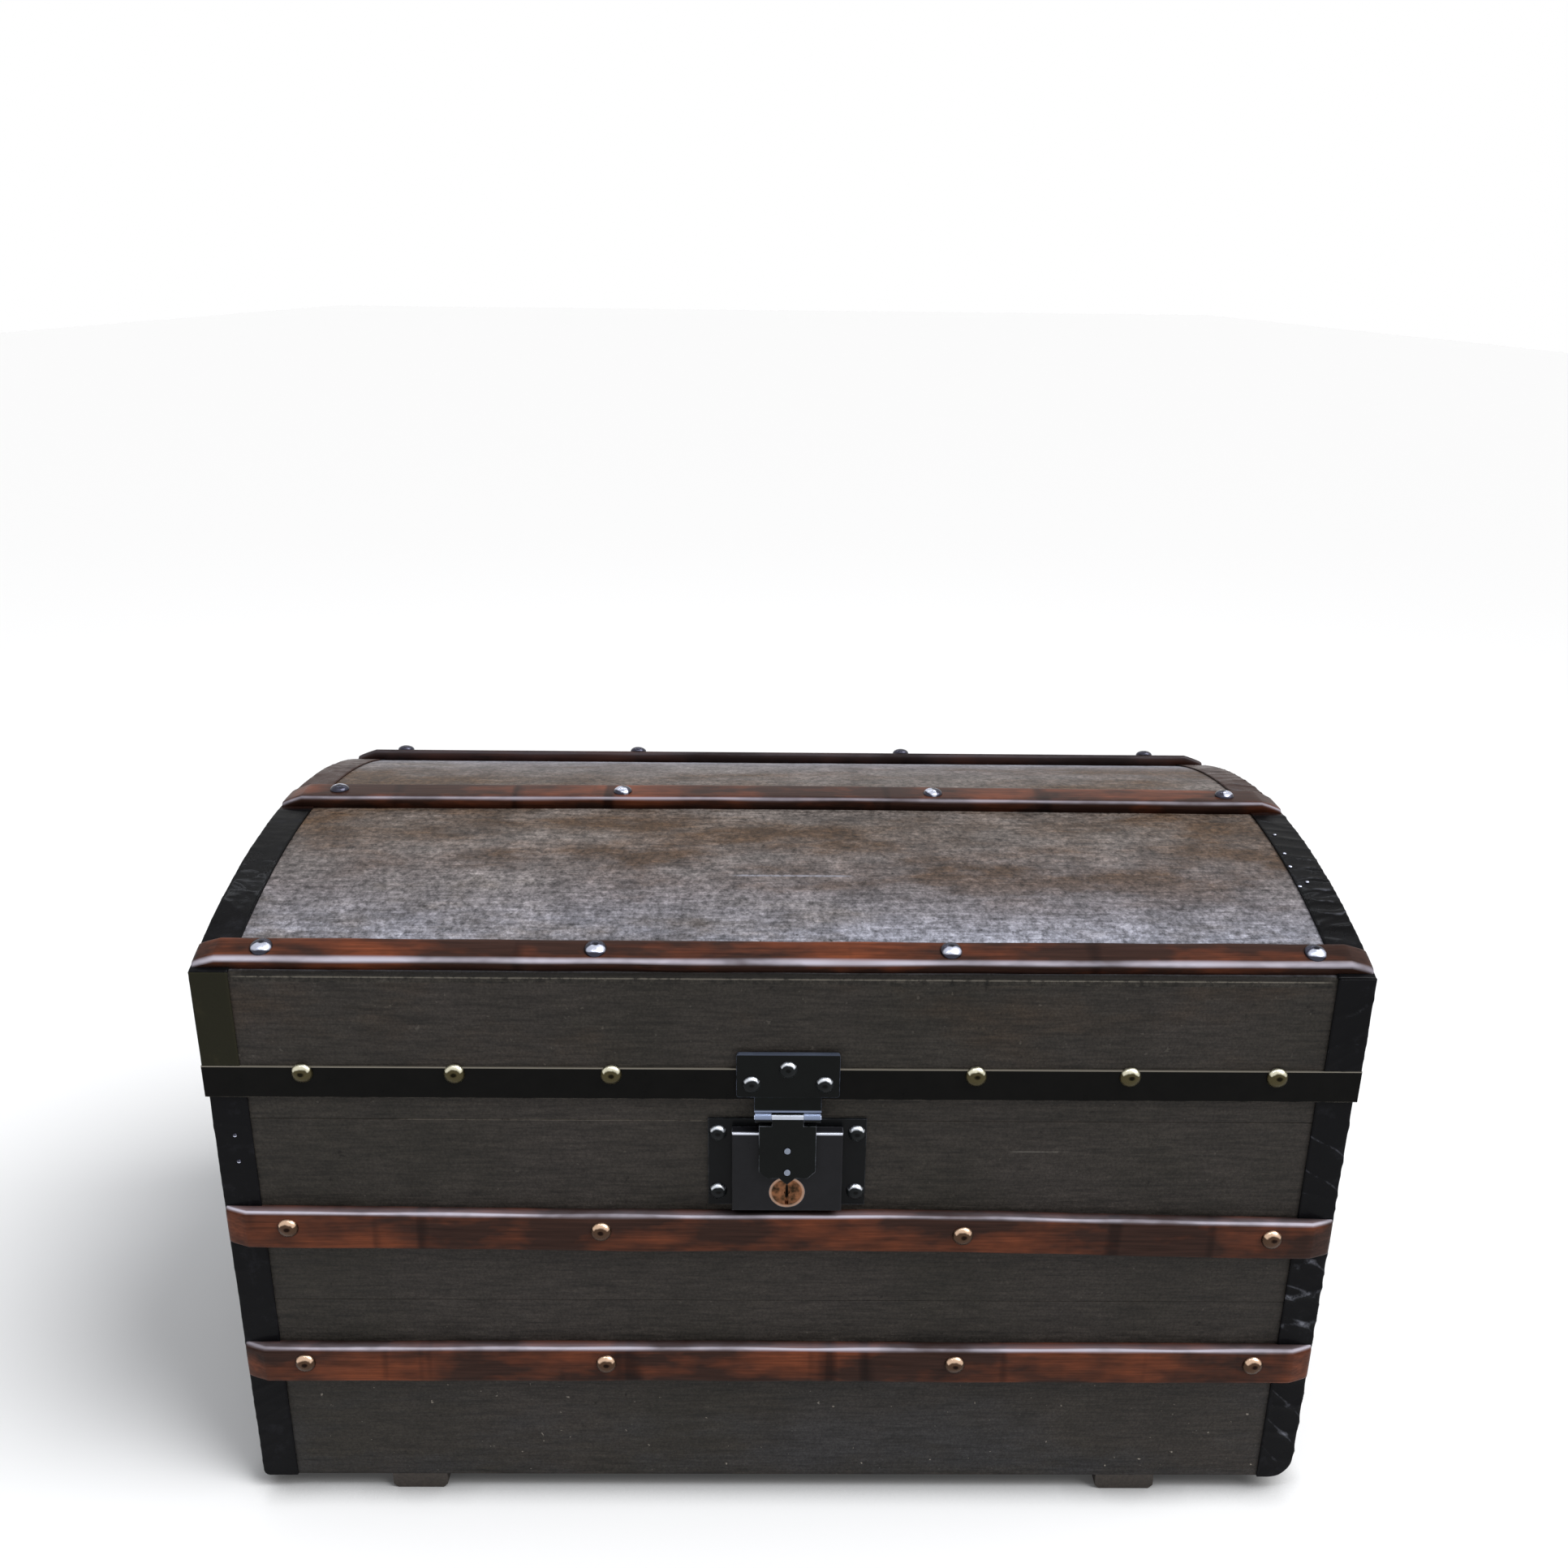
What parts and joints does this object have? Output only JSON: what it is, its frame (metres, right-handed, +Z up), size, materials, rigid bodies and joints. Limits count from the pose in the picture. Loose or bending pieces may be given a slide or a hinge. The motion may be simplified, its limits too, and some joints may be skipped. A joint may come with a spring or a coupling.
{
  "type": "dome-top storage trunk",
  "caption": "Dome-top wooden trunk with varnished slats, black corner bindings, a hasp lock in front, rear hinges, end handles and runners.",
  "frame": {"origin": "on the floor, under the middle of the trunk", "axes": "+Z up, front faces -Y, +X to the right of someone facing the front"},
  "size_m": [0.737, 0.411, 0.443],
  "materials": {
    "painted_wood": "worn satin paint over pine boards",
    "bare_wood": "bare planed pine",
    "runner_wood": "weathered bare wood",
    "varnished_slat": "glossy dark red-brown varnish",
    "black_binding": "black lacquered, creased",
    "black_band": "black satin sheet iron",
    "black_iron": "black satin enamel",
    "copper_nail": "coppery domed nail",
    "brass_nail": "aged brass domed nail",
    "steel_nail": "domed steel nail",
    "brass_plug": "worn brass"
  },
  "bodies": {
    "trunk": {"bottom_board": "bare_wood", "front_plank_lower": "painted_wood", "front_plank_middle": "painted_wood", "front_plank_upper": "painted_wood", "back_plank_lower": "painted_wood", "back_plank_upper": "painted_wood", "left_end_board": "painted_wood", "right_end_board": "painted_wood", "runner_left": "runner_wood", "runner_right": "runner_wood", "corner_binding_front_left": "black_binding", "corner_binding_front_right": "black_binding", "corner_binding_back_left": "black_binding", "corner_binding_back_right": "black_binding", "front_slat_upper": "varnished_slat", "front_slat_lower": "varnished_slat", "back_slat_upper": "varnished_slat", "back_slat_lower": "varnished_slat", "body_slat_nails": "copper_nail", "lock_plate": "black_iron", "lock_case": "black_iron", "lock_nails": "black_iron", "hinge_left_body_leaf": "black_iron", "hinge_right_body_leaf": "black_iron", "hinge_pins": "black_iron", "body_screws": "black_iron", "handle_left_plate": "black_iron", "handle_right_plate": "black_iron"},
    "lid": {"lid_front_board": "painted_wood", "lid_back_board": "painted_wood", "lid_left_end": "painted_wood", "lid_right_end": "painted_wood", "dome_panel_front": "painted_wood", "dome_panel_back": "painted_wood", "lid_arc_binding_left": "black_binding", "lid_arc_binding_right": "black_binding", "lid_corner_binding_front_left": "black_binding", "lid_corner_binding_front_right": "black_binding", "lid_corner_binding_back_left": "black_binding", "lid_corner_binding_back_right": "black_binding", "lid_slat_front": "varnished_slat", "lid_slat_centre": "varnished_slat", "lid_slat_back": "varnished_slat", "lid_slat_nails": "steel_nail", "band_front": "black_band", "band_left": "black_band", "band_right": "black_band", "band_nails": "brass_nail", "hasp_plate": "black_iron", "hasp_pin": "black_iron", "hasp_nails": "black_iron", "hinge_left_lid_leaf": "black_iron", "hinge_right_lid_leaf": "black_iron", "lid_hinge_screws": "black_iron"},
    "hasp": {"hasp_tongue": "black_iron", "hasp_staple": "black_iron"},
    "key_plug": {"lock_plug": "brass_plug"},
    "bolt": {"lock_bolt": "black_iron"},
    "left_handle": {"handle_left": "black_iron"},
    "right_handle": {"handle_right": "black_iron"}
  },
  "joints": [
    {"name": "lid_hinge", "type": "hinge", "parent": "trunk", "child": "lid", "pos_m": [0, 0.197, 0.3202], "axis": [-1, 0, 0], "range_deg": [0, 105]},
    {"name": "hasp_hinge", "type": "hinge", "parent": "lid", "child": "hasp", "pos_m": [0.0025, -0.2004, 0.3015], "axis": [-1, 0, 0], "range_deg": [0, 100]},
    {"name": "key_turn", "type": "hinge", "parent": "trunk", "child": "key_plug", "pos_m": [0.0025, -0.2, 0.2475], "axis": [0, -1, 0], "range_deg": [0, 90]},
    {"name": "bolt_slide", "type": "slide", "parent": "trunk", "child": "bolt", "axis": [-1, 0, 0], "range_m": [0, 0.012]},
    {"name": "left_handle_swing", "type": "hinge", "parent": "trunk", "child": "left_handle", "pos_m": [-0.36, 0, 0.24], "axis": [0, 1, 0], "range_deg": [0, 95]},
    {"name": "right_handle_swing", "type": "hinge", "parent": "trunk", "child": "right_handle", "pos_m": [0.36, 0, 0.24], "axis": [0, -1, 0], "range_deg": [0, 95]}
  ],
  "couplings": [
    {"joint": "bolt_slide", "follows": "key_turn", "m_per_rad": 0.0076394}
  ]
}
